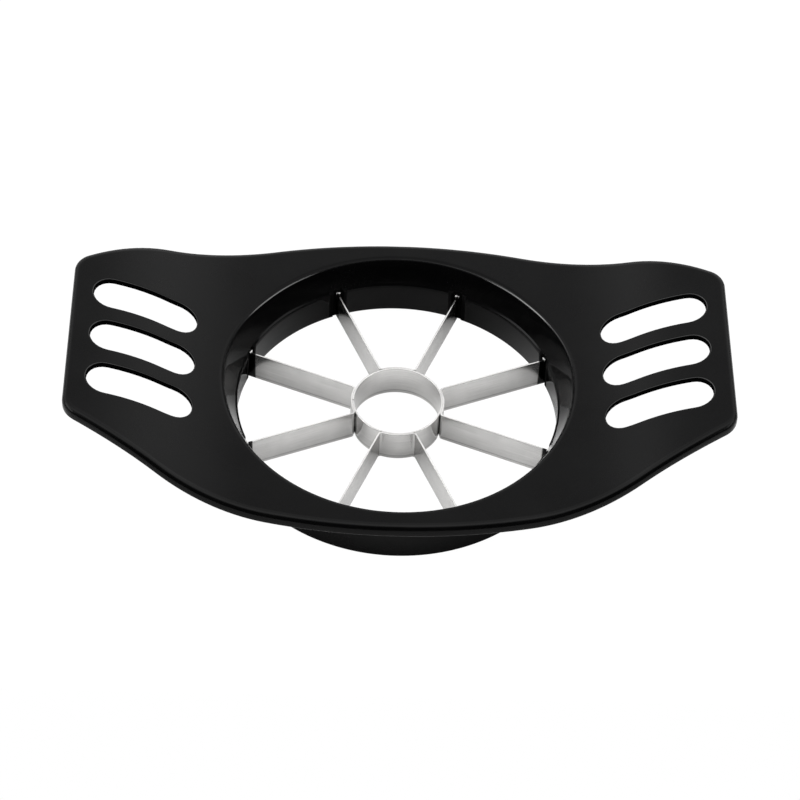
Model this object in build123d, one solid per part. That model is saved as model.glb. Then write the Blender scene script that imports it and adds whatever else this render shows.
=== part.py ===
from build123d import *
import os
from math import asin, cos, degrees, hypot, radians, sin

# A push-down fruit slicer and corer: a black moulded frame with two raised wing handles round a deep
# well, a moulded carrier ring pushed up into that well, four folded steel strips that make the eight
# blades, and a rolled steel corer ring in the middle. Millimetres, +Z up, the origin in the middle of
# the face that the slicer rests on, X along the handles.

# Plan of the frame
rim_radius = 50.0
side_margin = 6.3
wing_length = 44.4
wing_end_depth = 58.4
end_corner_radius = 7.0

# Side view of the frame: flat round the well, then a rising arc and a crowning arc in each wing
well_depth = 19.1
rise_inset = 13.3
rise_radius = 58.0
crown_radius = 55.0
rise_angle = 32.48

# Walls and edges of the frame
plate_thickness = 1.8
skirt_depth = 3.8
skirt_thickness = 1.8
skirt_top_bevel = 0.8
skirt_low_bevel = 0.4
rib_thickness = 1.6
rib_recess = 0.3

# Finger slots in each wing
slots_per_wing = 3
slot_root_gap = 8.8
slot_end_gap = 6.1
slot_width = 11.0
slot_pitch = 16.7
slot_bevel = 0.4

# Well of the frame
rim_bevel = 0.7
upper_wall_draft = 2.95
wall_thickness = 2.1
seat_step = 1.7
foot_width = 1.75
foot_bevel = 0.5
bead_reach = 0.5

# Carrier ring, with a groove for each blade end
carrier_fit = 0.1
carrier_lift = 0.8
ledge_width = 0.65
ledge_rise = 1.3
panel_draft = 0.5
panel_low_bevel = 0.4
groove_width = 2.8
groove_depth = 1.1
groove_flare = 0.5

# Steel strips and corer ring
blade_count = 8
steel_thickness = 0.5
blade_height = 10.0
blade_lift = 0.4
blade_bite = 0.5
tab_width = 1.3
tab_inset = 0.1
tab_proud = 0.6
edge_thickness = 0.14
edge_bevel = 1.1
bend_radius = 0.9
corer_inner_radius = 12.63
seam_gap = 0.3

# How far a cutting shape runs past the stock
overrun = 5.0

# A face looks up or down when its normal's height passes this share
upright_share = 0.5

# Where along an edge its place is read
middle_share = 0.5

# Worked-out places
rim_level = well_depth
half_length = rim_radius + wing_length
half_depth = rim_radius + side_margin
rise_start = rim_radius - rise_inset
wing_rise = (rise_radius + crown_radius) * (1 - cos(radians(rise_angle)))
wing_apex = rise_start + (rise_radius + crown_radius) * sin(radians(rise_angle))
slot_inner_end = rim_radius + slot_root_gap
slot_outer_end = half_length - slot_end_gap
slots_half_depth = ((slots_per_wing - 1) * slot_pitch + slot_width) / 2
sky = rim_level + wing_rise + overrun
blade_top = blade_lift + blade_height
carrier_top = blade_top + ledge_rise
ledge_radius = rim_radius - upper_wall_draft
seat_radius = ledge_radius + seat_step
panel_radius = ledge_radius - ledge_width
groove_radius = panel_radius + groove_depth
blade_end_radius = groove_radius + blade_bite
corer_outer_radius = corer_inner_radius + steel_thickness
half_spacing = 180 / blade_count


def polar(radius, angle):
    """Plan point at a radius and an angle in degrees."""
    return Vector(radius * cos(radians(angle)), radius * sin(radians(angle)))


def prism(sheet, low, high):
    """Upright prism of a plan sheet between two levels."""
    return Pos(0, 0, low) * extrude(sheet, high - low)


def section(points):
    """Sheet inside a closed chain of points."""
    return Sketch() + make_face(Polyline(*points, close=True))


def eased(sheet, point, bevel):
    """The sheet with its corner at the point bevelled."""
    return chamfer(sheet.vertices().sort_by_distance(point)[0], bevel)


def turned(sheet, sweep=360):
    """Solid turned about Z from a section."""
    return revolve(Plane.XZ * sheet, Axis.Z, sweep)


def facing(solid, way):
    """Faces that look up (way 1) or down (way -1)."""
    return [face for face in solid.faces() if way * face.normal_at(face.center()).Z > upright_share]


def border(faces):
    """Edges that only one of the faces has."""
    edges = [edge for face in faces for edge in face.edges()]
    return [edge for edge in edges if edges.count(edge) == 1]


def wing_band(depth, drop=0):
    """Slab between the frame's top surface, lowered by drop, and the same surface lowered by depth."""
    flat = Line((0, rim_level), (rise_start, rim_level))
    rise = JernArc(flat @ 1, (1, 0), rise_radius, rise_angle)
    crown = JernArc(rise @ 1, rise % 1, crown_radius, -rise_angle)
    level = Line(crown @ 1, (max(wing_apex, half_length) + overrun, (crown @ 1).Y))
    curve = [flat, rise, crown, level]
    high = [edge.moved(Pos(0, -drop)) for edge in curve]
    low = [edge.moved(Pos(0, -depth)) for edge in curve]
    sides = [Line(high[0] @ 0, low[0] @ 0), Line(high[-1] @ 1, low[-1] @ 1)]
    half = extrude(Plane.XZ * make_face(high + low + sides), half_depth + overrun, both=True)
    return half + mirror(half, Plane.YZ)


def plan_outline():
    """The frame from above: two shallow arcs between straight wing ends."""
    corner = wing_end_depth / 2
    back = ThreePointArc((-half_length, corner), (0, half_depth), (half_length, corner))
    front = ThreePointArc((half_length, -corner), (0, -half_depth), (-half_length, -corner))
    ends = [Line(back @ 1, front @ 0), Line(front @ 1, back @ 0)]
    sheet = Sketch() + make_face([back, front] + ends)
    return fillet(sheet.vertices(), end_corner_radius)


def wing_shell():
    """The plate with its turned-down skirt and the ribs under the bars between the slots."""
    outline = plan_outline()
    shell = wing_band(skirt_depth) & prism(outline, 0, sky)
    shell = chamfer(border(facing(shell, 1)), skirt_top_bevel)
    shell = chamfer(border(facing(shell, -1)), skirt_low_bevel)
    inside = prism(offset(outline, -skirt_thickness), 0, sky)
    shell -= wing_band(skirt_depth + overrun, plate_thickness) & inside
    rib_band = wing_band(skirt_depth - rib_recess, plate_thickness / 2)
    for bar in range(slots_per_wing - 1):
        place = (bar - (slots_per_wing - 2) / 2) * slot_pitch
        sheet = Pos(0, place) * Rectangle(2 * half_length - skirt_thickness, rib_thickness)
        shell += rib_band & prism(sheet, 0, sky)
    return shell


def finger_slots():
    """Cutters for the slots in both wings."""
    length = slot_outer_end - slot_inner_end
    middle = (slot_outer_end + slot_inner_end) / 2
    places = GridLocations(2 * middle, slot_pitch, 2, slots_per_wing)
    return prism(Sketch() + places * SlotOverall(length, slot_width), 0, sky)


def well_body():
    """The well's outside as a solid plug, up to the frame's top surface."""
    foot_radius = seat_radius + foot_width
    brim_radius = rim_radius + wall_thickness
    plug = section([(0, 0), (foot_radius, 0), (brim_radius, rim_level), (brim_radius, sky), (0, sky)])
    return turned(eased(plug, (foot_radius, 0), foot_bevel)) & wing_band(rim_level + overrun)


def well_bore():
    """The well's inside: snap bead, seat for the carrier, shoulder and drafted upper wall."""
    bead_radius = seat_radius - bead_reach
    slope = upper_wall_draft / (rim_level - carrier_top)
    return turned(section([
        (0, -overrun),
        (seat_radius, -overrun),
        (seat_radius, 0),
        (bead_radius, carrier_lift / 2),
        (bead_radius, carrier_lift),
        (seat_radius, carrier_lift),
        (seat_radius, carrier_top),
        (ledge_radius, carrier_top),
        (rim_radius + slope * (sky - rim_level), sky),
        (0, sky),
    ]))


def top_edges(frame):
    """Border edges of the frame's top surface, each with its middle point."""
    upper = [face for face in facing(frame, 1) if face.center().Z > rim_level - plate_thickness]
    return [(edge, edge @ middle_share) for edge in border(upper)]


def make_frame():
    """The whole moulding, with its mouth and slots eased at the top."""
    frame = wing_shell() + well_body() - well_bore() - finger_slots()
    brim_radius = rim_radius + wall_thickness
    mouth = [edge for edge, spot in top_edges(frame) if hypot(spot.X, spot.Y) < brim_radius]
    frame = chamfer(mouth, rim_bevel)
    slots = [edge for edge, spot in top_edges(frame)
             if slot_inner_end - slot_bevel < abs(spot.X) < slot_outer_end + slot_bevel
             and abs(spot.Y) < slots_half_depth + slot_bevel]
    return chamfer(slots, slot_bevel)


def strip_half(thickness):
    """Half of a folded strip's plan: quarter arc on the corer ring, bend and one radial arm."""
    middle = corer_outer_radius + steel_thickness / 2
    turn = degrees(asin(bend_radius / (middle + bend_radius)))
    hub = polar(middle + bend_radius, half_spacing - turn)
    across = polar(thickness / 2, half_spacing + 90)
    start = half_spacing - turn + 180
    far_bend = CenterArc(hub, bend_radius + thickness / 2, start, turn - 90)
    near_bend = CenterArc(hub, bend_radius - thickness / 2, start, turn - 90)
    tip = polar(blade_end_radius, half_spacing)
    edges = [
        CenterArc((0, 0), middle - thickness / 2, 0, half_spacing - turn),
        far_bend,
        Line(far_bend @ 1, tip + across),
        Line(tip + across, tip - across),
        Line(near_bend @ 1, tip - across),
        near_bend,
        CenterArc((0, 0), middle + thickness / 2, 0, half_spacing - turn),
        Line((middle - thickness / 2, 0), (middle + thickness / 2, 0)),
    ]
    return Sketch() + make_face(edges)


def make_strip(angle):
    """One folded strip: two blades with an end tab each, the arc between them and a ground lower edge."""
    bevel_top = blade_lift + edge_bevel
    full = strip_half(steel_thickness)
    half = prism(full, bevel_top, blade_top)
    keen = strip_half(edge_thickness)
    half += loft([Pos(0, 0, blade_lift) * keen, Pos(0, 0, bevel_top) * full], ruled=True)
    tab = Pos(panel_radius + tab_inset + steel_thickness / 2, 0) * Rectangle(steel_thickness, tab_width)
    half += prism(Rot(0, 0, half_spacing) * tab, blade_top, blade_top + tab_proud)
    return Rot(0, 0, angle) * (half + mirror(half, Plane.XZ))


def make_corer():
    """The corer ring: a strip rolled round to a butt seam, its lower edge ground to a bevel."""
    middle = corer_inner_radius + steel_thickness / 2
    gap = degrees(seam_gap / middle)
    ring = section([
        (middle - edge_thickness / 2, blade_lift),
        (middle + edge_thickness / 2, blade_lift),
        (corer_outer_radius, blade_lift + edge_bevel),
        (corer_outer_radius, blade_top),
        (corer_inner_radius, blade_top),
        (corer_inner_radius, blade_lift + edge_bevel),
    ])
    return Rot(0, 0, 180 + gap / 2) * turned(ring, 360 - gap)


def make_carrier(strips):
    """The carrier ring: a sloping ledge over a drafted panel, with a groove and a slit for each blade end."""
    outer_radius = seat_radius - carrier_fit
    low_radius = panel_radius + panel_draft
    wall = section([
        (panel_radius, blade_top),
        (ledge_radius, carrier_top),
        (outer_radius, carrier_top),
        (outer_radius, carrier_lift),
        (low_radius, carrier_lift),
    ])
    wall = eased(wall, (low_radius, carrier_lift), panel_low_bevel)
    carrier = turned(wall)
    mouth = groove_width / 2 + groove_flare
    groove = section([
        (groove_radius, -groove_width / 2),
        (groove_radius, groove_width / 2),
        (panel_radius + groove_flare, groove_width / 2),
        (panel_radius, mouth),
        (panel_radius - overrun, mouth),
        (panel_radius - overrun, -mouth),
        (panel_radius, -mouth),
        (panel_radius + groove_flare, -groove_width / 2),
    ])
    for blade in range(blade_count):
        place = Rot(0, 0, half_spacing + 2 * half_spacing * blade)
        carrier -= place * prism(groove, -overrun, sky)
    for strip in strips:
        carrier -= strip
    return carrier


strips = {
    "blade_strip_right": make_strip(0),
    "blade_strip_back": make_strip(90),
    "blade_strip_left": make_strip(180),
    "blade_strip_front": make_strip(270),
}
nodes = {
    "frame": make_frame(),
    "blade_carrier": make_carrier(strips.values()),
    **strips,
    "corer_ring": make_corer(),
}

os.makedirs("parts", exist_ok=True)
for name, shape in nodes.items():
    export_step(shape, f"parts/{name}.step")
    print(name, len(shape.solids()), "solid", round(shape.volume), "mm3", shape.bounding_box().size)
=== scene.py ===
# %% [markdown]
# # A push-down fruit slicer
# The real object is a black moulded frame with two raised wing handles, a second black moulding pushed up into
# its well, and a star of folded steel strips round a corer ring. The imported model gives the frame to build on:
# its axes are kept, with X along the handles and Z up. Blender works in metres, but a tool of this size is easier
# to read in millimetres, so the sizes below are in millimetres and each mesh is scaled once, when it is made.

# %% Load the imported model
from math import asin, atan, cos, hypot, pi, radians, sin, sqrt, tan

import bmesh
import bpy
from mathutils import Matrix, Vector
from mathutils.geometry import delaunay_2d_cdt


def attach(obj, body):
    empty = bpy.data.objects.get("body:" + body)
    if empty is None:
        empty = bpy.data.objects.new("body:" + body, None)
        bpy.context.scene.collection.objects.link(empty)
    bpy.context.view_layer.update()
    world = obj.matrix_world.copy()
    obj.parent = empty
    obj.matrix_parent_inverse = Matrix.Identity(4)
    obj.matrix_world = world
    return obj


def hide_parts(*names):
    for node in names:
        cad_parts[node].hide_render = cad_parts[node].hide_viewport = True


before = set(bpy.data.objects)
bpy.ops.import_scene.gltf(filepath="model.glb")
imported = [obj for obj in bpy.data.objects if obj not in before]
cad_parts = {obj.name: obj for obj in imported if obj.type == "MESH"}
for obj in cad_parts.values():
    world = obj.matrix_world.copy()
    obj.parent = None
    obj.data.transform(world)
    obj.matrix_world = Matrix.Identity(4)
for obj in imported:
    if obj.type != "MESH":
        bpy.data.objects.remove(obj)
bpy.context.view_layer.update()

scene = bpy.context.scene
scene.view_settings.view_transform = "Standard"
mm = 0.001
print("nodes:", sorted(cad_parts))

# %% [markdown]
# ## The camera
# The picture looks down at the slicer from in front, from a little to the left, and the slicer lies a few
# degrees off level in it. A long lens keeps the wings nearly parallel. The camera is built from its own three
# axes, which is the plainest way to give it a roll: right and up are turned together about the line of sight.

# %% Place the camera
sight_azimuth = radians(-2.213)
sight_elevation = radians(46.944)
sight_roll = radians(3.032)
sight_distance = 911.18 * mm
sight_target = Vector((0.70, 0.65, 10.03)) * mm
lens_length = 141.06
sensor_side = 36.0
nearest_seen = 0.01

back = Vector((
    sin(sight_azimuth) * cos(sight_elevation),
    -cos(sight_azimuth) * cos(sight_elevation),
    sin(sight_elevation),
))
level_right = Vector((cos(sight_azimuth), sin(sight_azimuth), 0))
level_up = back.cross(level_right)
right = level_right * cos(sight_roll) + level_up * sin(sight_roll)
up = level_up * cos(sight_roll) - level_right * sin(sight_roll)

camera_data = bpy.data.cameras.new("camera")
camera_data.lens = lens_length
camera_data.sensor_width = sensor_side
camera_data.clip_start = nearest_seen
camera = bpy.data.objects.new("camera", camera_data)
turn = Matrix((right, up, back)).transposed().to_4x4()
camera.matrix_world = Matrix.Translation(sight_target + back * sight_distance) @ turn
scene.collection.objects.link(camera)
scene.camera = camera
print("camera at", [round(v, 4) for v in camera.location])

# %% [markdown]
# ## The side curve of the frame
# Seen from the front, the frame's upper surface is flat round the well, bends up in an arc and comes level again
# in a second arc at the wing's end. Every point of the moulding hangs from this one curve, so it is written as a
# function of the place along the handles. The two arcs meet with the same slope, which keeps the sheen unbroken.

# %% The height of the upper surface
half_length = 94.4
rim_level = 19.1
rise_start = 36.7
rise_radius = 58.0
crown_radius = 55.0
rise_angle = radians(32.48)

rise_run = rise_radius * sin(rise_angle)
crown_run = crown_radius * sin(rise_angle)
crown_level = rim_level + (rise_radius + crown_radius) * (1 - cos(rise_angle))


def top_height(x):
    """Height of the frame's upper surface at a place along the handles."""
    run = max(abs(x) - rise_start, 0)
    if run < rise_run:
        return rim_level + rise_radius - sqrt(rise_radius ** 2 - run ** 2)
    left = max(rise_run + crown_run - run, 0)
    return crown_level - crown_radius + sqrt(crown_radius ** 2 - left ** 2)


print("wing end stands at", round(top_height(half_length), 2), "mm")

# %% [markdown]
# ## The outlines seen from above
# The moulding's edges are closed loops: the outline with its four round corners, six finger slots with half-round
# ends, and the well's mouth, which comes later. A loop is kept as pairs of a point and the way out from it. With
# the way out at hand, a rounded edge is only a matter of moving the loop sideways and down.

# %% Loops for the outline and the slots
half_depth = 56.3
end_half_depth = 29.2
corner_radius = 7.0
slot_inner_end = 58.8
slot_outer_end = 88.3
slot_radius = 5.5
slot_pitch = 16.7
arc_steps = 44
corner_steps = 10
end_steps = 10
slot_steps = 14

bow = half_depth - end_half_depth
side_radius = (half_length ** 2 + bow ** 2) / (2 * bow)
side_hub = half_depth - side_radius
corner_x = half_length - corner_radius
corner_y = side_hub + sqrt((side_radius - corner_radius) ** 2 - corner_x ** 2)
corner_turn = asin((corner_y - side_hub) / (side_radius - corner_radius))


def arc(hub, radius, start, end, steps):
    """Points on an arc with the way out from its middle, from the start angle up to but not at the end."""
    angles = [start + (end - start) * i / steps for i in range(steps)]
    ways = [(cos(a), sin(a)) for a in angles]
    return [((hub[0] + radius * wx, hub[1] + radius * wy), (wx, wy)) for wx, wy in ways]


def mirrored(quarter):
    """A whole loop from its first quarter, turned round by mirroring."""
    upper = quarter + [((-x, y), (-wx, wy)) for (x, y), (wx, wy) in reversed(quarter)]
    return upper + [((-x, -y), (-wx, -wy)) for (x, y), (wx, wy) in upper]


def outline_loop():
    """The frame's outline, counter-clockwise from the right."""
    straight = [((half_length, corner_y * (i + 0.5) / end_steps), (1, 0)) for i in range(end_steps)]
    corner = arc((corner_x, corner_y), corner_radius, 0, corner_turn, corner_steps)
    half_step = (pi / 2 - corner_turn) / (2 * arc_steps)
    side = arc((0, side_hub), side_radius, corner_turn, pi / 2 - half_step, arc_steps)
    return mirrored(straight + corner + side)


def slot_loop(side, row):
    """One finger slot's outline, with the way out into the plastic."""
    reach = (slot_outer_end - slot_inner_end) / 2 - slot_radius
    middle = side * (slot_outer_end + slot_inner_end) / 2
    straight = [middle + reach - 2 * reach * (i + 1) / slot_steps for i in range(slot_steps - 1)]
    far = arc((middle + reach, row * slot_pitch), slot_radius, -pi / 2, pi / 2, slot_steps)
    upper = [((x, row * slot_pitch + slot_radius), (0, 1)) for x in [middle + reach] + straight]
    near = arc((middle - reach, row * slot_pitch), slot_radius, pi / 2, 3 * pi / 2, slot_steps)
    lower = [((x, row * slot_pitch - slot_radius), (0, -1)) for x in [middle - reach] + straight[::-1]]
    return far + upper + near + lower


outline = outline_loop()
slots = [slot_loop(side, row) for side in (1, -1) for row in (-1, 0, 1)]
print("outline of", len(outline), "points,", len(slots), "slots of", len(slots[0]))

# %% [markdown]
# ## Rows and fills
# The frame could be a subdivided cage, but its edges run over a curved surface and round seven holes, so a cage
# would be hard to keep even. Instead each edge is a stack of rows: the loop, moved in by one distance and lowered
# by another, with quads between the rows. The large faces between the loops are then filled with triangles by
# a constrained triangulation, with a grid of points inside so that the curve of the wings stays smooth.

# %% Helpers that lay rows of points and fill between them
frame_points = []
frame_faces = []
grid_step = 3.0
edge_gap = 1.8
round_steps = 6
inside_only = 1
same_point = 1e-6


def lay_row(loop, inset, drop):
    """A row of points: the loop moved in by inset, at drop under the upper surface."""
    first = len(frame_points)
    for (x, y), (wx, wy) in loop:
        place = x - wx * inset
        frame_points.append((place, y - wy * inset, top_height(place) - drop))
    return list(range(first, len(frame_points)))


def join_rows(rows):
    """Closed bands of quads from each row to the next."""
    for upper, lower in zip(rows, rows[1:]):
        for i, above in enumerate(upper):
            j = (i + 1) % len(upper)
            frame_faces.append((above, lower[i], lower[j], upper[j]))


def quarter_round(radius):
    """Pairs of sideways and downwards distance from the outer corner, along a quarter round from the top."""
    turns = [pi / 2 * i / round_steps for i in range(round_steps + 1)]
    return [(radius * (1 - sin(t)), radius * (1 - cos(t))) for t in turns]


def clear_of_edges(x, y, brim):
    """True where a grid point is well inside the plate."""
    x, y = abs(x), abs(y)
    if hypot(x, y) < brim + edge_gap or x > half_length - 2 * edge_gap:
        return False
    if hypot(x, y - side_hub) > side_radius - 2 * edge_gap:
        return False
    if x > corner_x and y > corner_y and hypot(x - corner_x, y - corner_y) > corner_radius - 2 * edge_gap:
        return False
    nearest = min(max(x, slot_inner_end + slot_radius), slot_outer_end - slot_radius)
    beside = [hypot(x - nearest, y - row * slot_pitch) for row in (0, 1)]
    return min(beside) > slot_radius + edge_gap


def fill_plate(loops, drop, brim):
    """Triangles between the outer loop and the holes, with grid points at drop under the upper surface."""
    border = [i for loop in loops for i in loop]
    first = len(frame_points)
    across, deep = int(half_length / grid_step), int(half_depth / grid_step)
    for i in range(-across, across + 1):
        for j in range(-deep, deep + 1):
            x, y = (i + 0.5 * (j % 2)) * grid_step, j * grid_step
            if clear_of_edges(x, y, brim):
                frame_points.append((x, y, top_height(x) - drop))
    used = border + list(range(first, len(frame_points)))
    place = {index: order for order, index in enumerate(used)}
    edges = [(place[a], place[b]) for loop in loops for a, b in zip(loop, loop[1:] + loop[:1])]
    flat = [Vector(frame_points[i][:2]) for i in used]
    _, _, faces, origins, _, _ = delaunay_2d_cdt(flat, edges, [], inside_only, same_point)
    triangles = [[used[origins[i][0]] for i in face] for face in faces]
    hole = {index: number for number, loop in enumerate(loops[1:]) for index in loop}
    kept = [t for t in triangles if not (t[0] in hole and len({hole.get(i) for i in t}) == 1)]
    frame_faces.extend(kept)
    return len(kept)


print("a quarter round has", len(quarter_round(1)), "rows")

# %% [markdown]
# ## The plate's edge and the slots
# The edge of a wing is a skirt turned down all round. On the real moulding its top edge is generously round, which
# gives the fine light line along the front, and its lower edge is only just eased. The rows start inside on the
# upper surface, go over the round, down the skirt, under it and up again to the plate's underside. A first row
# just inside each round keeps the flat part flat in the shading.

# %% Skirt and slot rows
plate_thickness = 1.8
skirt_depth = 3.8
skirt_thickness = 1.8
skirt_top_round = 1.75
skirt_low_round = 0.6
skirt_inner_round = 0.3
slot_round = 0.5
support = 0.35


def turned_under(radius, depth):
    """The quarter round that comes in at the foot of a wall, as pairs of inset and drop."""
    return [(side, depth - down) for side, down in reversed(quarter_round(radius))]


skirt = [(skirt_top_round + support, 0)] + quarter_round(skirt_top_round)
skirt += turned_under(skirt_low_round, skirt_depth)
skirt += [(skirt_thickness - skirt_inner_round, skirt_depth)]
skirt += [(skirt_thickness, skirt_depth - skirt_inner_round)]
skirt += [(skirt_thickness, plate_thickness + skirt_inner_round)]
skirt += [(skirt_thickness + skirt_inner_round, plate_thickness)]
skirt_rows = [lay_row(outline, inset, drop) for inset, drop in skirt]
join_rows(skirt_rows)

slot_wall = [(slot_round + support, 0)] + quarter_round(slot_round)
slot_wall += turned_under(slot_round / 2, plate_thickness)
slot_rows = [[lay_row(loop, -inset, drop) for inset, drop in slot_wall] for loop in slots]
for rows in slot_rows:
    join_rows(rows)
print("skirt of", len(skirt), "rows, each slot of", len(slot_wall))

# %% [markdown]
# ## The well
# The well is a deep ring that hangs from the plate: a rounded mouth, an upper wall that leans in like a funnel, a
# shoulder over the carrier, the seat with its snap bead, the foot that the slicer stands on, and the outer wall.
# It is a turned shape except at the mouth, which climbs a little where the wings start to rise. So each row is
# a circle whose height may follow the upper surface, and the rest is plain turning. The mouth's round runs from
# level to the wall's lean, which is less than a quarter turn.

# %% Well rows
rim_radius = 50.0
rim_round = 1.6
shoulder_radius = 47.05
shoulder_level = 11.7
seat_radius = 48.75
carrier_lift = 0.8
bead_reach = 0.5
foot_radius = 50.5
foot_round = 0.7
brim_radius = 52.1
brim_fillet = 0.6
wall_bands = 4
turn_steps = 192

draft = (rim_radius - shoulder_radius) / (rim_level - shoulder_level)
mouth_turn = pi / 2 - atan(draft)
mouth_reach = rim_round * tan(mouth_turn / 2)
mouth_drop = rim_round * (1 - cos(mouth_turn))
flank = (brim_radius - foot_radius) / rim_level


def lay_ring(spot):
    """A row round the well: spot gives the radius and height for the cosine of each angle."""
    first = len(frame_points)
    for i in range(turn_steps):
        angle = 2 * pi * i / turn_steps
        radius, height = spot(cos(angle))
        frame_points.append((radius * cos(angle), radius * sin(angle), height))
    return list(range(first, len(frame_points)))


def mouth_spot(outset, drop):
    """Place on the mouth's round, which follows the upper surface."""
    def spot(way):
        height = top_height(rim_radius * way)
        radius = rim_radius + draft * (height - drop - rim_level) + outset
        return radius, top_height(radius * way) - drop
    return spot


def wall_spot(share):
    """Place on the upper wall, from under the mouth's round down to the shoulder."""
    def spot(way):
        high = mouth_spot(0, mouth_drop)(way)[1]
        height = high + (shoulder_level - high) * share
        return rim_radius + draft * (height - rim_level), height
    return spot


def flank_spot(outset, drop):
    """Place where the outer wall runs into the plate's underside."""
    def spot(way):
        height = top_height(brim_radius * way) - plate_thickness
        radius = foot_radius + flank * (height - drop) + outset
        return radius, top_height(radius * way) - plate_thickness - drop
    return spot


mouth = [(mouth_reach + support, 0)]
for i in range(round_steps + 1):
    turn = mouth_turn * i / round_steps
    drop = rim_round * (1 - cos(turn))
    mouth.append((mouth_reach - rim_round * sin(turn) + draft * drop, drop))
well_spots = [mouth_spot(outset, drop) for outset, drop in mouth]
well_spots += [wall_spot((i + 1) / wall_bands) for i in range(wall_bands)]
bead_radius = seat_radius - bead_reach
turned = [(seat_radius, shoulder_level), (seat_radius, carrier_lift), (bead_radius, carrier_lift)]
turned += [(bead_radius, carrier_lift / 2), (seat_radius, 0)]
turned += [(foot_radius - side, down) for side, down in quarter_round(foot_round)]
well_spots += [lambda way, place=place: place for place in turned]
brim = quarter_round(brim_fillet)[::-1]
well_spots += [flank_spot(side, down) for side, down in brim]
well_rows = [lay_ring(spot) for spot in well_spots]
join_rows(well_rows)
print("well of", len(well_rows), "rows, outer wall", round(foot_radius + flank * rim_level, 2), "mm at the plate")

# %% [markdown]
# ## Closing the frame
# With all rows laid, two fills close the moulding: the upper surface and the underside. Both are made from the
# same loops, so the result is one closed skin. The faces are turned to look outwards in one go, and edges
# sharper than a set angle stay crisp. Edges that shine are marked here too, while their rows are at hand: the
# mouth, the tops of the slots, the skirt's foot and, with only a trace, its top at the front and the back. The mark
# is a share of polish at each point, which the plastic reads later.

# %% Fill the plate and make the frame's mesh
crisp_angle = radians(38)
mouth_polish = 1.0
mouth_row = 5
slot_polish = 0.6
slot_row = 3
foot_polish = 1.0
foot_rows = slice(round_steps + 4, 2 * round_steps + 3)
skirt_polish = 0.07
skirt_top_rows = slice(1, round_steps + 1)


def finish_mesh(name, points, faces, polished):
    """A mesh object from points in millimetres, its faces turned outwards and shaded smooth up to the crisp angle.
    Rows of points may be marked with a share of polish, an attribute for the material to read."""
    mesh = bpy.data.meshes.new(name)
    mesh.from_pydata([Vector(p) * mm for p in points], [], faces)
    work = bmesh.new()
    work.from_mesh(mesh)
    bmesh.ops.recalc_face_normals(work, faces=work.faces)
    loose_edges = sum(1 for edge in work.edges if len(edge.link_faces) != 2)
    work.to_mesh(mesh)
    work.free()
    mark = mesh.attributes.new("polish", "FLOAT", "POINT")
    for share, rows in polished:
        for row in rows:
            for index in row:
                mark.data[index].value = share
    mesh.shade_smooth()
    mesh.set_sharp_from_angle(angle=crisp_angle)
    piece = bpy.data.objects.new(name, mesh)
    scene.collection.objects.link(piece)
    print(name, len(mesh.polygons), "faces,", loose_edges, "edges not closed")
    return piece


top_loops = [skirt_rows[0], well_rows[0]] + [rows[0] for rows in slot_rows]
low_loops = [skirt_rows[-1], well_rows[-1]] + [rows[-1] for rows in slot_rows]
top_count = fill_plate(top_loops, 0, rim_radius + rim_round)
low_count = fill_plate(low_loops, plate_thickness, brim_radius + brim_fillet)
print("upper surface", top_count, "triangles, underside", low_count)
polished = [(mouth_polish, [well_rows[mouth_row]])]
polished += [(slot_polish, [rows[slot_row]]) for rows in slot_rows]
polished += [(foot_polish, skirt_rows[foot_rows])]
for i, (_, (_, frontward)) in enumerate(outline):
    polished.append((skirt_polish * abs(frontward), [[row[i] for row in skirt_rows[skirt_top_rows]]]))
frame_moulding = finish_mesh("frame_moulding", frame_points, frame_faces, polished)
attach(frame_moulding, "root")
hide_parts("frame")

# %% [markdown]
# ## Black plastic
# Both mouldings are black plastic, and a black surface is seen almost only by its gloss. Three things keep it from
# looking like paint: a very fine grain from the mould, broad clouds of more and less gloss, and a colour that is
# not quite even. They are put together once, as a shader node group that gives out three values, and each plastic
# uses the group with its own scales. The shader itself stays in the material.

# %% Helpers for node trees, and the group for a moulded skin
def feed(tree, socket, value):
    """Links a socket to another node's output, or sets it to a plain value."""
    if isinstance(value, bpy.types.NodeSocket):
        tree.links.new(value, socket)
    else:
        socket.default_value = value


def put(tree, kind, feeds=None, **settings):
    """Adds a node: settings are its properties, and feeds its inputs by name."""
    node = tree.nodes.new(kind)
    for name, value in settings.items():
        setattr(node, name, value)
    for name, value in (feeds or {}).items():
        feed(tree, node.inputs[name], value)
    return node


def reckon(tree, operation, *terms):
    """The result of a Math node over its terms."""
    node = put(tree, "ShaderNodeMath", operation=operation)
    for socket, term in zip(node.inputs, terms):
        feed(tree, socket, term)
    return node.outputs[0]


def remap(tree, value, low, high, new_low, new_high):
    """A value taken from one range to another, and held inside it."""
    names = ("Value", "From Min", "From Max", "To Min", "To Max")
    feeds = dict(zip(names, (value, low, high, new_low, new_high)))
    return put(tree, "ShaderNodeMapRange", feeds).outputs["Result"]


def noise(tree, place, scale, detail):
    """The value of a noise at a place."""
    return put(tree, "ShaderNodeTexNoise", {"Vector": place, "Scale": scale, "Detail": detail}).outputs[0]


def weighed(tree, values, shares):
    """The sum of two values, each times its share."""
    return reckon(tree, "ADD", *(reckon(tree, "MULTIPLY", *pair) for pair in zip(values, shares)))


def shader_group(name, inputs, outputs):
    """A shader node group with named inputs and outputs; inputs maps each name to its kind of socket."""
    group = bpy.data.node_groups.new(name, "ShaderNodeTree")
    for label, kind in inputs.items():
        group.interface.new_socket(label, in_out="INPUT", socket_type=kind)
    for label in outputs:
        group.interface.new_socket(label, in_out="OUTPUT", socket_type="NodeSocketFloat")
    entry = put(group, "NodeGroupInput")
    leave = put(group, "NodeGroupOutput")
    return group, entry.outputs, leave.inputs


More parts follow.
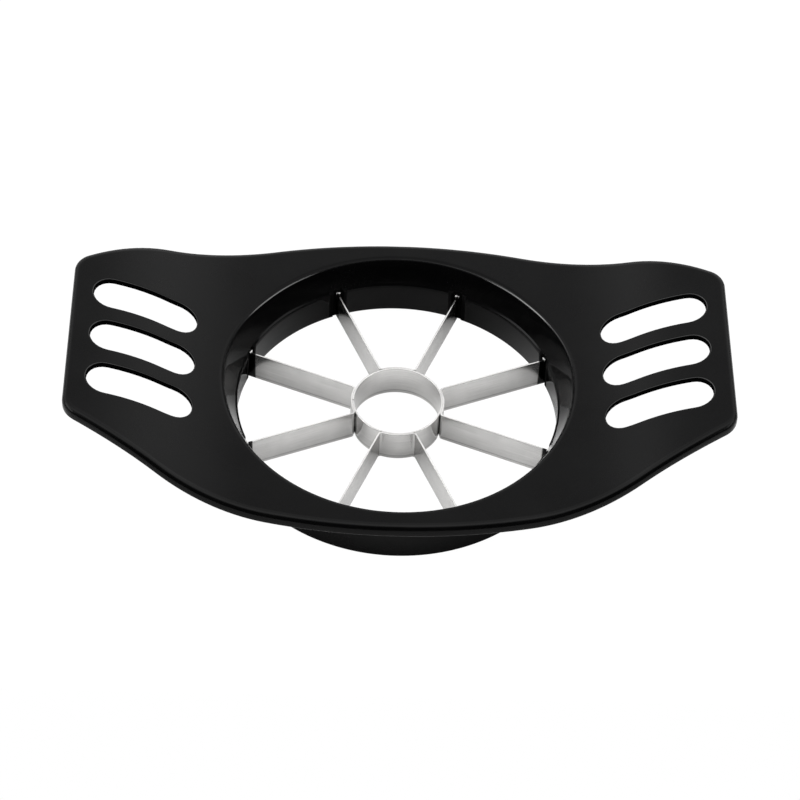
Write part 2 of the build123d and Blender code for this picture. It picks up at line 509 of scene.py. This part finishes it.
grain_detail, cloud_detail, speck_detail = 2.0, 4.0, 1.0
speck_to_grain = 0.35
cloud_and_speck = (0.6, 0.4)

skin_group, given, result = shader_group(
    "moulded_skin",
    {"Place": "NodeSocketVector", "Grain Scale": "NodeSocketFloat", "Cloud Scale": "NodeSocketFloat"},
    ["Shade", "Cloud", "Grain"],
)
speck_scale = reckon(skin_group, "MULTIPLY", given["Grain Scale"], speck_to_grain)
grain = noise(skin_group, given["Place"], given["Grain Scale"], grain_detail)
cloud = noise(skin_group, given["Place"], given["Cloud Scale"], cloud_detail)
speck = noise(skin_group, given["Place"], speck_scale, speck_detail)
feed(skin_group, result["Shade"], weighed(skin_group, (cloud, speck), cloud_and_speck))
feed(skin_group, result["Cloud"], cloud)
feed(skin_group, result["Grain"], reckon(skin_group, "ADD", grain, speck))
print("group", skin_group.name, "gives", [socket.name for socket in result if socket.name])

# %% [markdown]
# ## The plastics
# The plastic is soot black with a thin, soft gloss, a little sharper inside the well, where the mould was polished.
# Only the rounded edges shine: they are rubbed smooth by hands and cloths. So the edges get a coat, whose weight is
# the polish marked in the mesh, broken up a little by the skin's clouds. The carrier has a matte strip beside each
# blade, where the angle round the axis comes close to a blade's. The walls inside the slots are raw, with no gloss.

# %% Make the plastics
blacks = (0.0010, 0.0010, 0.0011, 1), (0.0020, 0.0020, 0.0021, 1)
soft_gloss, no_gloss = 0.062, 0.0
coat_roughness = 0.18
coat_ior = 1.75
cloud_scale = 55.0
noise_band = (0.3, 0.7)
worn_shares = (0.8, 1.0)
grain_strength = 0.25
well_reach = (49.9 * mm, 50.3 * mm)
blade_count = 8
matte = 0.9
dull_fade = 0.3 * mm
no_dull = -dull_fade


def new_material(name):
    """An empty material, with its node tree and its shader."""
    material = bpy.data.materials.new(name)
    material.use_nodes = True
    return material, material.node_tree, material.node_tree.nodes["Principled BSDF"]


def mixed(tree, share, low, high):
    """A colour between two others."""
    return put(tree, "ShaderNodeMix", {0: share, 6: low, 7: high}, data_type="RGBA").outputs[2]


def from_axis(tree, place):
    """Distance of a place from the well's axis."""
    flat = put(tree, "ShaderNodeVectorMath", {0: place, 1: (1, 1, 0)}, operation="MULTIPLY").outputs[0]
    return put(tree, "ShaderNodeVectorMath", {0: flat}, operation="LENGTH").outputs["Value"]


def plastic(name, gloss, grain_scale, grain_depth, outside, inside, dull_reach):
    """A black plastic. Gloss is how much it mirrors, 0.5 being plain plastic; outside and inside are its ranges of
    roughness beyond and within the well; and dull_reach is how far from each blade's plane the skin stays matte."""
    material, tree, shader = new_material(name)
    shader.inputs["Specular IOR Level"].default_value = gloss
    shader.inputs["Coat Roughness"].default_value = coat_roughness
    shader.inputs["Coat IOR"].default_value = coat_ior
    place = put(tree, "ShaderNodeTexCoord").outputs["Object"]
    skin = put(tree, "ShaderNodeGroup", {
        "Place": place, "Grain Scale": grain_scale, "Cloud Scale": cloud_scale}, node_tree=skin_group).outputs
    shade = remap(tree, skin["Shade"], *noise_band, 0.0, 1.0)
    feed(tree, shader.inputs["Base Color"], mixed(tree, shade, *blacks))

    radius = from_axis(tree, place)
    rough = put(tree, "ShaderNodeMix", {
        0: remap(tree, radius, *well_reach, 0.0, 1.0),
        2: remap(tree, skin["Cloud"], *noise_band, *inside),
        3: remap(tree, skin["Cloud"], *noise_band, *outside),
    }, data_type="FLOAT")
    parts = put(tree, "ShaderNodeSeparateXYZ", {"Vector": place}).outputs
    turn_to_blade = reckon(tree, "SUBTRACT", reckon(tree, "ARCTAN2", parts["Y"], parts["X"]), pi / blade_count)
    beside = reckon(tree, "MULTIPLY", reckon(tree, "PINGPONG", turn_to_blade, pi / blade_count), radius)
    near_blade = remap(tree, beside, dull_reach, dull_reach + dull_fade, 1.0, 0.0)
    dulled = put(tree, "ShaderNodeMix", {0: near_blade, 2: rough.outputs[0], 3: matte}, data_type="FLOAT")
    feed(tree, shader.inputs["Roughness"], dulled.outputs[0])

    polish = put(tree, "ShaderNodeAttribute", attribute_name="polish").outputs["Fac"]
    worn = remap(tree, skin["Cloud"], *noise_band, *worn_shares)
    feed(tree, shader.inputs["Coat Weight"], reckon(tree, "MULTIPLY", polish, worn))
    relief = {"Height": skin["Grain"], "Strength": grain_strength, "Distance": grain_depth}
    feed(tree, shader.inputs["Normal"], put(tree, "ShaderNodeBump", relief).outputs[0])
    return material


satin_black = plastic(
    "satin_black", gloss=soft_gloss, grain_scale=2600.0, grain_depth=0.02 * mm,
    outside=(0.24, 0.34), inside=(0.08, 0.13), dull_reach=no_dull)
soft_gloss_black = plastic(
    "soft_gloss_black", gloss=soft_gloss, grain_scale=3600.0, grain_depth=0.012 * mm,
    outside=(0.2, 0.2), inside=(0.08, 0.14), dull_reach=2.6 * mm)
raw_black = plastic(
    "raw_black", gloss=no_gloss, grain_scale=2600.0, grain_depth=0.02 * mm,
    outside=(0.6, 0.8), inside=(0.6, 0.8), dull_reach=no_dull)

frame_mesh = frame_moulding.data
frame_mesh.materials.append(satin_black)
frame_mesh.materials.append(raw_black)
bare_rows = slice(round_steps - 1, -1)
bare = {index for rows in slot_rows for row in rows[bare_rows] for index in row}
for face in frame_mesh.polygons:
    face.material_index = int(bare.issuperset(face.vertices))
print("plastics:", [material.name for material in (satin_black, soft_gloss_black, raw_black)])

# %% [markdown]
# ## A section swept along a path
# The blades, the corer ring and the ribs under the wings are the same kind of shape: one thin section carried along
# a line. That is what Geometry Nodes are good at. The tree below takes a path of plain edges, draws a six-cornered
# section from named sizes, rounds its two upper corners and sweeps it. It also stores the distance along the path,
# so that the steel's grain can follow the strip round its bends. At the ends it can set a small cross tab.

# %% The sweeping tree
corner_points = 3


def negative(tree, value):
    """A value with its sign turned."""
    return reckon(tree, "MULTIPLY", value, -1.0)


def halved(tree, value):
    """Half a value."""
    return reckon(tree, "MULTIPLY", value, 0.5)


def by_index(tree, values):
    """A value for each point of a curve, picked by the point's number."""
    node = put(tree, "GeometryNodeIndexSwitch", data_type="FLOAT")
    for _ in values[2:]:
        node.index_switch_items.new()
    for socket, value in zip(node.inputs, [put(tree, "GeometryNodeInputIndex").outputs[0]] + values):
        feed(tree, socket, value)
    return node.outputs[0]


def section_curve(tree, places, rounds):
    """A closed section from pairs of sideways and upwards places, with a round for each corner.
    A sweep with upright normals carries a section's Y axis downwards, so upwards is minus Y."""
    ring = put(tree, "GeometryNodeCurvePrimitiveCircle", {"Resolution": len(places)}, mode="RADIUS")
    spot = put(tree, "ShaderNodeCombineXYZ", {
        "X": by_index(tree, [x for x, _ in places]),
        "Y": negative(tree, by_index(tree, [y for _, y in places])),
    })
    moved = put(tree, "GeometryNodeSetPosition", {"Geometry": ring.outputs[0], "Position": spot.outputs[0]})
    eased = put(tree, "GeometryNodeFilletCurve", {
        "Curve": moved.outputs[0], "Count": corner_points, "Radius": by_index(tree, rounds), "Limit Radius": True,
    }, mode="POLY")
    return eased.outputs[0]


def geometry_tree(name, sizes):
    """A Geometry Nodes tree with a named input for each size and one for the material."""
    tree = bpy.data.node_groups.new(name, "GeometryNodeTree")
    tree.interface.new_socket("Geometry", in_out="INPUT", socket_type="NodeSocketGeometry")
    for label in sizes:
        tree.interface.new_socket(label, in_out="INPUT", socket_type="NodeSocketFloat")
    tree.interface.new_socket("Material", in_out="INPUT", socket_type="NodeSocketMaterial")
    tree.interface.new_socket("Geometry", in_out="OUTPUT", socket_type="NodeSocketGeometry")
    return tree, put(tree, "NodeGroupInput").outputs


def leave_tree(tree, geometry, material):
    """Ends a tree: instances made real, the material set, and the result put out."""
    real = put(tree, "GeometryNodeRealizeInstances", {"Geometry": geometry})
    dressed = put(tree, "GeometryNodeSetMaterial", {"Geometry": real.outputs[0], "Material": material})
    put(tree, "NodeGroupOutput", {"Geometry": dressed.outputs[0]})


sweep, given = geometry_tree("swept_section", [
    "Top", "Bottom", "Thickness", "Edge Thickness", "Edge Bevel", "Corner Round",
    "Tab Width", "Tab Height", "Tab Setback",
])
half, keen = halved(sweep, given["Thickness"]), halved(sweep, given["Edge Thickness"])
minus_half, minus_keen = negative(sweep, half), negative(sweep, keen)
shoulder = reckon(sweep, "ADD", given["Bottom"], given["Edge Bevel"])
section = section_curve(sweep, [
    (half, given["Top"]), (half, shoulder), (keen, given["Bottom"]),
    (minus_keen, given["Bottom"]), (minus_half, shoulder), (minus_half, given["Top"]),
], [given["Corner Round"], 0.0, 0.0, 0.0, 0.0, given["Corner Round"]])

line = put(sweep, "GeometryNodeMeshToCurve", {"Mesh": given["Geometry"]}).outputs[0]
line = put(sweep, "GeometryNodeSetCurveNormal", {"Curve": line}, mode="Z_UP").outputs[0]
run = put(sweep, "GeometryNodeSplineParameter").outputs
line = put(sweep, "GeometryNodeStoreNamedAttribute", {
    "Geometry": line, "Name": "along", "Value": run["Length"],
}, data_type="FLOAT", domain="POINT").outputs[0]
swept = put(sweep, "GeometryNodeCurveToMesh", {"Curve": line, "Profile Curve": section, "Fill Caps": True})
print("tree", sweep.name, "with", len(sweep.nodes), "nodes")

# %% [markdown]
# The tab is a small rounded block across the strip. Instances of it stand at the two ends of each path, set back
# along the path by a named distance: the sign of that step comes from the place along the path, which is 0 at the
# start and 1 at the end. A tab height of zero leaves the tabs out.

# %% Tabs at the ends of the path
tab_smoothing = 3
tab_crease = 0.55
weld_distance = 0.001 * mm


def along_z(tree, value):
    """A vector with only a Z part."""
    return put(tree, "ShaderNodeCombineXYZ", {"Z": value}).outputs[0]


ends = put(sweep, "GeometryNodeCurveEndpointSelection").outputs[0]
tangent = put(sweep, "GeometryNodeInputTangent").outputs[0]
inwards = reckon(sweep, "SUBTRACT", 1.0, reckon(sweep, "MULTIPLY", run["Factor"], 2.0))
step = reckon(sweep, "MULTIPLY", inwards, given["Tab Setback"])
shift = put(sweep, "ShaderNodeVectorMath", {0: tangent, "Scale": step}, operation="SCALE").outputs[0]
lift = along_z(sweep, given["Top"])
offset = put(sweep, "ShaderNodeVectorMath", {0: shift, 1: lift}, operation="ADD").outputs[0]
tab_places = put(sweep, "GeometryNodeSetPosition", {"Geometry": line, "Offset": offset}).outputs[0]
tab_size = put(sweep, "ShaderNodeCombineXYZ", {
    "X": given["Thickness"], "Y": given["Tab Width"], "Z": reckon(sweep, "MULTIPLY", given["Tab Height"], 2.0),
}).outputs[0]
block = put(sweep, "GeometryNodeMeshCube", {"Size": tab_size}).outputs[0]
tab = put(sweep, "GeometryNodeSubdivisionSurface", {
    "Mesh": block, "Level": tab_smoothing, "Edge Crease": tab_crease}).outputs[0]
turned_tab = put(sweep, "FunctionNodeAlignRotationToVector", {
    "Vector": tangent}, axis="X", pivot_axis="Z").outputs[0]
tall = put(sweep, "FunctionNodeCompare", {
    "A": given["Tab Height"], "B": 0.0}, data_type="FLOAT", operation="GREATER_THAN").outputs[0]
wanted = put(sweep, "FunctionNodeBooleanMath", {0: ends, 1: tall}, operation="AND").outputs[0]
tabs = put(sweep, "GeometryNodeInstanceOnPoints", {
    "Points": tab_places, "Selection": wanted, "Instance": tab, "Rotation": turned_tab}).outputs[0]
joined = put(sweep, "GeometryNodeJoinGeometry")
sweep.links.new(swept.outputs[0], joined.inputs[0])
sweep.links.new(tabs, joined.inputs[0])
leave_tree(sweep, joined.outputs[0], given["Material"])
print("with the tabs", len(sweep.nodes), "nodes")


def run_tree(name, tree, points, edges, sizes, material):
    """Runs a tree over a path in millimetres and keeps the result as a plain mesh object."""
    path = bpy.data.meshes.new(name + "_path")
    path.from_pydata([Vector(p) * mm for p in points], edges, [])
    piece = bpy.data.objects.new(name, path)
    scene.collection.objects.link(piece)
    modifier = piece.modifiers.new("tree", "NODES")
    modifier.node_group = tree
    for item in tree.interface.items_tree:
        if item.in_out == "INPUT" and item.name in sizes:
            modifier[item.identifier] = sizes[item.name] * mm
        if item.in_out == "INPUT" and item.name == "Material":
            modifier[item.identifier] = material
    made = bpy.data.meshes.new_from_object(piece.evaluated_get(bpy.context.evaluated_depsgraph_get()))
    piece.modifiers.remove(modifier)
    piece.data = made
    work = bmesh.new()
    work.from_mesh(made)
    bmesh.ops.remove_doubles(work, verts=work.verts, dist=weld_distance)
    bmesh.ops.recalc_face_normals(work, faces=work.faces)
    work.to_mesh(made)
    work.free()
    made.shade_smooth()
    made.set_sharp_from_angle(angle=crisp_angle)
    print(name, len(made.polygons), "faces")
    return piece


def chain(points):
    """Edges that join points one after the other."""
    return [(i, i + 1) for i in range(len(points) - 1)]


# %% [markdown]
# ## Ribs under the wings
# Under each wing two ribs run from the well to the skirt, below the bars between the slots. They follow the
# side curve, so their paths are read from it. The section starts inside the plate and ends a little above the
# skirt's foot. All four are one piece, because they belong to one moulding.

# %% Sweep the ribs
rib_sizes = {
    "Top": -0.9, "Bottom": -3.5, "Thickness": 1.6, "Edge Thickness": 1.1, "Edge Bevel": 0.25,
    "Corner Round": 0.0, "Tab Width": 0.0, "Tab Height": 0.0, "Tab Setback": 0.0,
}
rib_root = 50.6
rib_steps = 24
rib_points, rib_edges = [], []
for side in (1, -1):
    for row in (-0.5, 0.5):
        first = len(rib_points)
        for i in range(rib_steps + 1):
            x = rib_root + (half_length - skirt_thickness / 2 - rib_root) * i / rib_steps
            rib_points.append((side * x, row * slot_pitch, top_height(x)))
        rib_edges += [(first + a, first + b) for a, b in chain(range(rib_steps + 1))]
wing_ribs = run_tree("wing_ribs", sweep, rib_points, rib_edges, rib_sizes, satin_black)
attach(wing_ribs, "root")

# %% [markdown]
# ## The carrier ring
# The carrier is a plain ring with a sloping ledge at the top, cut by one groove for each blade. A ring with
# repeated cuts follows a rule, so it is a second tree: a six-cornered section swept round a circle, less eight
# copies of a groove with a rounded mouth, set round the axis half a spacing off. One of the six corners stands in
# the ledge's slope, which makes it swell a little and catch the light along its crest.

# %% Grow the carrier
ring_steps = 240
crest_drop = 0.35
crest_reach = 0.23

grooved, given = geometry_tree("grooved_ring", [
    "Inner Radius", "Outer Radius", "Top", "Bottom", "Draft", "Ledge Width", "Ledge Rise", "Ledge Round",
    "Low Round", "Groove Width", "Groove Depth", "Groove Round", "Overrun",
])
inner, soft = given["Inner Radius"], given["Groove Round"]
width = reckon(grooved, "SUBTRACT", given["Outer Radius"], inner)
shelf = reckon(grooved, "SUBTRACT", given["Top"], given["Ledge Rise"])
crest_in = reckon(grooved, "MULTIPLY", given["Ledge Width"], crest_reach)
crest = reckon(grooved, "SUBTRACT", given["Top"], reckon(grooved, "MULTIPLY", given["Ledge Rise"], crest_drop))
wall = section_curve(grooved, [
    (given["Draft"], given["Bottom"]), (width, given["Bottom"]), (width, given["Top"]),
    (given["Ledge Width"], given["Top"]), (crest_in, crest), (0.0, shelf),
], [given["Low Round"], 0.0, 0.0, 0.0, given["Ledge Round"], given["Ledge Round"]])
circle = put(grooved, "GeometryNodeCurvePrimitiveCircle", {
    "Resolution": ring_steps, "Radius": inner}, mode="RADIUS").outputs[0]
circle = put(grooved, "GeometryNodeSetCurveNormal", {"Curve": circle}, mode="Z_UP").outputs[0]
ring = put(grooved, "GeometryNodeCurveToMesh", {"Curve": circle, "Profile Curve": wall}).outputs[0]

floor_radius = reckon(grooved, "ADD", inner, given["Groove Depth"])
mouth_radius = reckon(grooved, "ADD", inner, soft)
inside = reckon(grooved, "SUBTRACT", inner, given["Overrun"])
side = halved(grooved, given["Groove Width"])
wide = reckon(grooved, "ADD", side, soft)
minus_side, minus_wide = negative(grooved, side), negative(grooved, wide)
groove = section_curve(grooved, [
    (floor_radius, side), (floor_radius, minus_side), (mouth_radius, minus_side), (inner, minus_wide),
    (inside, minus_wide), (inside, wide), (inner, wide), (mouth_radius, side),
], [0.0, 0.0, soft, soft, 0.0, 0.0, soft, soft])
low = reckon(grooved, "SUBTRACT", given["Bottom"], given["Overrun"])
high = reckon(grooved, "ADD", given["Top"], given["Overrun"])
upright = put(grooved, "GeometryNodeCurvePrimitiveLine", {
    "Start": along_z(grooved, low), "End": along_z(grooved, high)}).outputs[0]
cutter = put(grooved, "GeometryNodeCurveToMesh", {
    "Curve": upright, "Profile Curve": groove, "Fill Caps": True}).outputs[0]
number = put(grooved, "GeometryNodeInputIndex").outputs[0]
angle = reckon(grooved, "MULTIPLY", reckon(grooved, "ADD", number, 0.5), 2 * pi / blade_count)
seeds = put(grooved, "GeometryNodePoints", {"Count": blade_count}).outputs[0]
cutters = put(grooved, "GeometryNodeInstanceOnPoints", {
    "Points": seeds, "Instance": cutter, "Rotation": along_z(grooved, angle)}).outputs[0]
cutters = put(grooved, "GeometryNodeRealizeInstances", {"Geometry": cutters}).outputs[0]
cut = put(grooved, "GeometryNodeMeshBoolean", {
    "Mesh 1": ring, "Mesh 2": cutters}, operation="DIFFERENCE", solver="EXACT").outputs[0]
leave_tree(grooved, cut, given["Material"])

carrier_sizes = {
    "Inner Radius": 46.4, "Outer Radius": 48.65, "Top": shoulder_level, "Bottom": carrier_lift, "Draft": 0.5,
    "Ledge Width": 0.65, "Ledge Rise": 1.3, "Ledge Round": 0.25, "Low Round": 0.4,
    "Groove Width": 2.8, "Groove Depth": 1.1, "Groove Round": 0.5, "Overrun": 4.0,
}
carrier_moulding = run_tree("carrier_moulding", grooved, [], [], carrier_sizes, soft_gloss_black)
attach(carrier_moulding, "root")
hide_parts("blade_carrier")

# %% [markdown]
# ## Stainless strip
# The steel is rolled strip with a fine grain along its length. Grain is a noise stretched more than a hundred
# times along the strip, and it needs to know which way the strip runs. The sweep stored that as the attribute named
# along, so the group below takes the distance along and the height, and gives out a shade, a roughness and a
# relief. Two marks are added in the material: a thin darker line at the height where the ground edge starts, and
# painted shade on the end of each blade next to the carrier, from which only the tab on top stays bright.

# %% The steel's grain and the two steels
streaks_along = 60.0
patch_scale = 160.0
strip_detail = 3.0
shade_shares = (0.7, 0.3)
rough_shares = (0.4, 0.6)

grain_group, given, result = shader_group(
    "strip_grain",
    {"Along": "NodeSocketFloat", "Height": "NodeSocketFloat", "Stretch": "NodeSocketFloat"},
    ["Shade", "Rough", "Relief"],
)
streak_place = put(grain_group, "ShaderNodeCombineXYZ", {
    "X": reckon(grain_group, "MULTIPLY", given["Along"], streaks_along),
    "Y": reckon(grain_group, "MULTIPLY", given["Height"], given["Stretch"]),
}).outputs[0]
patch_place = put(grain_group, "ShaderNodeCombineXYZ", {"X": given["Along"], "Y": given["Height"]}).outputs[0]
streak = noise(grain_group, streak_place, 1.0, strip_detail)
patch = noise(grain_group, patch_place, patch_scale, strip_detail)
feed(grain_group, result["Shade"], weighed(grain_group, (streak, patch), shade_shares))
feed(grain_group, result["Rough"], weighed(grain_group, (streak, patch), rough_shares))
feed(grain_group, result["Relief"], streak)

greys = (0.42, 0.415, 0.41, 1), (0.66, 0.655, 0.645, 1)
grain_stretch = 9000.0
relief_strength = 0.3
relief_depth = 0.01 * mm
painted_end_shade = (0.004, 0.004, 0.004, 1)
painted_shade_reach = (44.9 * mm, 45.3 * mm)
painted_shade_metal = 0.8
tab_from = (10.45 * mm, 10.55 * mm)
ground_level = 1.6 * mm
ground_width = 0.13 * mm
ground_share = 0.55


def steel(name, roughness):
    """A stainless strip with grain along its length; roughness is its range."""
    material, tree, shader = new_material(name)
    along = put(tree, "ShaderNodeAttribute", attribute_name="along").outputs["Fac"]
    place = put(tree, "ShaderNodeTexCoord").outputs["Object"]
    height = put(tree, "ShaderNodeSeparateXYZ", {"Vector": place}).outputs["Z"]
    lines = put(tree, "ShaderNodeGroup", {
        "Along": along, "Height": height, "Stretch": grain_stretch}, node_tree=grain_group).outputs

    # Painted shade: the end of each blade, where it runs into the carrier's wall, is painted near black and less
    # metallic; the tab on top is kept clear of it.
    before_painted_shade = remap(tree, from_axis(tree, place), *painted_shade_reach, 1.0, 0.0)
    on_tab = remap(tree, height, *tab_from, 0.0, 1.0)
    clear = reckon(tree, "MAXIMUM", before_painted_shade, on_tab)
    # A thin band at ground_level is painted darker, at the height where the ground edge starts.
    ground_line = reckon(tree, "COMPARE", height, ground_level, ground_width)
    share = reckon(tree, "MULTIPLY", clear, remap(tree, ground_line, 0.0, 1.0, 1.0, ground_share))
    grey = mixed(tree, remap(tree, lines["Shade"], *noise_band, 0.0, 1.0), *greys)
    feed(tree, shader.inputs["Base Color"], mixed(tree, share, painted_end_shade, grey))
    feed(tree, shader.inputs["Metallic"], remap(tree, clear, 0.0, 1.0, painted_shade_metal, 1.0))
    feed(tree, shader.inputs["Roughness"], remap(tree, lines["Rough"], *noise_band, *roughness))
    relief = {"Height": lines["Relief"], "Strength": relief_strength, "Distance": relief_depth}
    feed(tree, shader.inputs["Normal"], put(tree, "ShaderNodeBump", relief).outputs[0])
    return material


blade_steel = steel("strip_steel", roughness=(0.16, 0.26))
corer_steel = steel("ring_steel", roughness=(0.10, 0.16))
print("steels:", blade_steel.name, corer_steel.name)

# %% [markdown]
# ## The blade strips and the corer ring
# Eight blades come from four strips. Each strip runs in from the carrier, bends, lies on the corer ring for an
# eighth of a turn, bends again and runs out. The path is drawn from the same arcs, mirrored about its middle. The
# corer ring is an arc that stops just short of a whole turn, which leaves its butt seam at the left.

# %% Sweep the steel
steel_thickness = 0.5
strip_sizes = {
    "Top": 10.4, "Bottom": 0.4, "Thickness": steel_thickness, "Edge Thickness": 0.14, "Edge Bevel": 1.1,
    "Corner Round": 0.12, "Tab Width": 1.3, "Tab Height": 0.6, "Tab Setback": 1.25,
}
blade_end_radius = 48.0
corer_middle = 12.88
bend_radius = 0.9
seam_gap = 0.3
strip_steps = 8
corer_steps = 160

half_spacing = pi / blade_count
hug_radius = corer_middle + steel_thickness
hub_radius = hug_radius + bend_radius
bend_turn = asin(bend_radius / hub_radius)
hug_turn = half_spacing - bend_turn


def strip_path(middle_angle):
    """Points of one folded strip's middle line, about the angle of its middle."""
    hub = (hub_radius * cos(hug_turn), hub_radius * sin(hug_turn))
    bend_start = hug_turn + pi
    bend_end = bend_start + bend_turn - pi / 2
    half_path = [spot for spot, _ in arc((0, 0), hug_radius, 0, hug_turn, strip_steps)]
    half_path += [spot for spot, _ in arc(hub, bend_radius, bend_start, bend_end, strip_steps)]
    arm_start = hub_radius * cos(bend_turn)
    for i in range(strip_steps + 1):
        reach = arm_start + (blade_end_radius - arm_start) * i / strip_steps
        half_path.append((reach * cos(half_spacing), reach * sin(half_spacing)))
    whole = [(x, -y) for x, y in reversed(half_path[1:])] + half_path
    ca, sa = cos(middle_angle), sin(middle_angle)
    return [(x * ca - y * sa, x * sa + y * ca, 0) for x, y in whole]


for order, name in enumerate(("right", "back", "left", "front")):
    path = strip_path(order * pi / 2)
    strip = run_tree("steel_strip_" + name, sweep, path, chain(path), strip_sizes, blade_steel)
    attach(strip, "root")
    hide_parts("blade_strip_" + name)

corer_sizes = {**strip_sizes, "Tab Height": 0.0}
half_turn = pi - seam_gap / corer_middle / 2
whole_turn = [spot for spot, _ in arc((0, 0), corer_middle, -half_turn, half_turn, corer_steps)]
last = (corer_middle * cos(half_turn), corer_middle * sin(half_turn))
path = [(x, y, 0) for x, y in whole_turn + [last]]
corer = run_tree("steel_corer", sweep, path, chain(path), corer_sizes, corer_steel)
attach(corer, "root")
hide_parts("corer_ring")

# %% [markdown]
# ## The floor
# The slicer stands on plain white paper, which ends a few centimetres in front of it, so that the skirt's front
# mirrors the dark beyond. The paper glows for rays that come straight from the camera, so that it is white in the
# picture, but part of it stays a real surface and keeps the slicer's shadow. Polished steel sees far more of the
# real surface than the camera does.

# %% Lay the floor
floor_reach = 6.0
floor_front = 0.100
paper_tones = (0.86, 0.86, 0.86, 1), (0.92, 0.92, 0.92, 1)
paper_roughness = 0.9
fibre_scale, fibre_detail = 40.0, 3.0
glow_strength = 1.04
camera_glow, mirror_glow = 0.96, 0.05


def white_share(tree, straight, mirrored):
    """How much white a ray sees, straight from the camera or through glass, or in a mirror."""
    ray = put(tree, "ShaderNodeLightPath").outputs
    seen = reckon(tree, "MAXIMUM", ray["Is Camera Ray"], ray["Is Transmission Ray"])
    return reckon(tree, "MAXIMUM", reckon(tree, "MULTIPLY", seen, straight),
                  reckon(tree, "MULTIPLY", ray["Is Glossy Ray"], mirrored))


floor_mesh = bpy.data.meshes.new("floor")
floor_corners = [(-floor_reach, -floor_front, 0), (floor_reach, -floor_front, 0)]
floor_corners += [(floor_reach, floor_reach, 0), (-floor_reach, floor_reach, 0)]
floor_mesh.from_pydata(floor_corners, [], [(0, 1, 2, 3)])
floor = bpy.data.objects.new("floor", floor_mesh)
scene.collection.objects.link(floor)

paper, tree, shader = new_material("studio_paper")
shader.inputs["Roughness"].default_value = paper_roughness
shader.inputs["Specular IOR Level"].default_value = 0.0
fibre = noise(tree, put(tree, "ShaderNodeTexCoord").outputs["Object"], fibre_scale, fibre_detail)
feed(tree, shader.inputs["Base Color"], mixed(tree, fibre, *paper_tones))
glow = put(tree, "ShaderNodeEmission", {"Strength": glow_strength})
share = white_share(tree, camera_glow, mirror_glow)
blend = put(tree, "ShaderNodeMixShader", {0: share, 1: shader.outputs[0], 2: glow.outputs[0]})
feed(tree, tree.nodes["Material Output"].inputs["Surface"], blend.outputs[0])
floor_mesh.materials.append(paper)
print("floor ends", floor_front, "m in front of the axis")

# %% [markdown]
# ## The light
# The light comes from above and behind, and the front and the horizon are dark. That leaves the plate dark and
# draws a thin light line along its rounded edges. The world does this with a ramp over how near a direction comes
# to the brightest one, faded out towards the horizon. For the camera it is plain white, and mirrors see a little of
# that white. A softbox at each side, the left one stronger, lights the wings' ends and the sides of the well.

# %% Light the studio
lit_way = (-0.08, 0.55, 0.83)
lit_stops = ((0.0, 0.0), (0.36, 0.0), (0.52, 1.57), (0.62, 2.65), (0.84, 2.35), (0.93, 1.55), (1.0, 1.4))
horizon_fade = (0.08, 0.26)
box_x, box_y, box_z = 0.92, -0.16, 0.48
box_width, box_height = 0.80, 0.36
left_watts, right_watts = 4.4, 3.0

world = bpy.data.worlds.new("studio")
scene.world = world
world.use_nodes = True
tree = world.node_tree
dim = tree.nodes["Background"]
way = put(tree, "ShaderNodeTexCoord").outputs["Generated"]
nearness = put(tree, "ShaderNodeVectorMath", {0: way, 1: lit_way}, operation="DOT_PRODUCT").outputs["Value"]
ramp = put(tree, "ShaderNodeValToRGB", {"Fac": nearness})
stops = ramp.color_ramp.elements
while len(stops) < len(lit_stops):
    stops.new(1.0)
for stop, (place, light) in zip(stops, lit_stops):
    stop.position = place
    stop.color = (light, light, light, 1)
feed(tree, dim.inputs["Color"], ramp.outputs["Color"])
rise = put(tree, "ShaderNodeSeparateXYZ", {"Vector": way}).outputs["Z"]
feed(tree, dim.inputs["Strength"], remap(tree, rise, *horizon_fade, 0.0, 1.0))
white = put(tree, "ShaderNodeBackground", {"Color": (1, 1, 1, 1)})
share = white_share(tree, 1.0, mirror_glow)
blend = put(tree, "ShaderNodeMixShader", {0: share, 1: dim.outputs[0], 2: white.outputs[0]})
feed(tree, tree.nodes["World Output"].inputs["Surface"], blend.outputs[0])


def softbox(name, place, watts):
    """A rectangular lamp that looks at the slicer."""
    data = bpy.data.lights.new(name, "AREA")
    data.shape = "RECTANGLE"
    data.size, data.size_y, data.energy = box_width, box_height, watts
    lamp = bpy.data.objects.new(name, data)
    lamp.location = place
    lamp.rotation_euler = (-Vector(place)).to_track_quat("-Z", "Y").to_euler()
    scene.collection.objects.link(lamp)


softbox("softbox_left", (-box_x, box_y, box_z), left_watts)
softbox("softbox_right", (box_x, box_y, box_z), right_watts)
print("lights:", [lamp.name for lamp in bpy.data.lights])
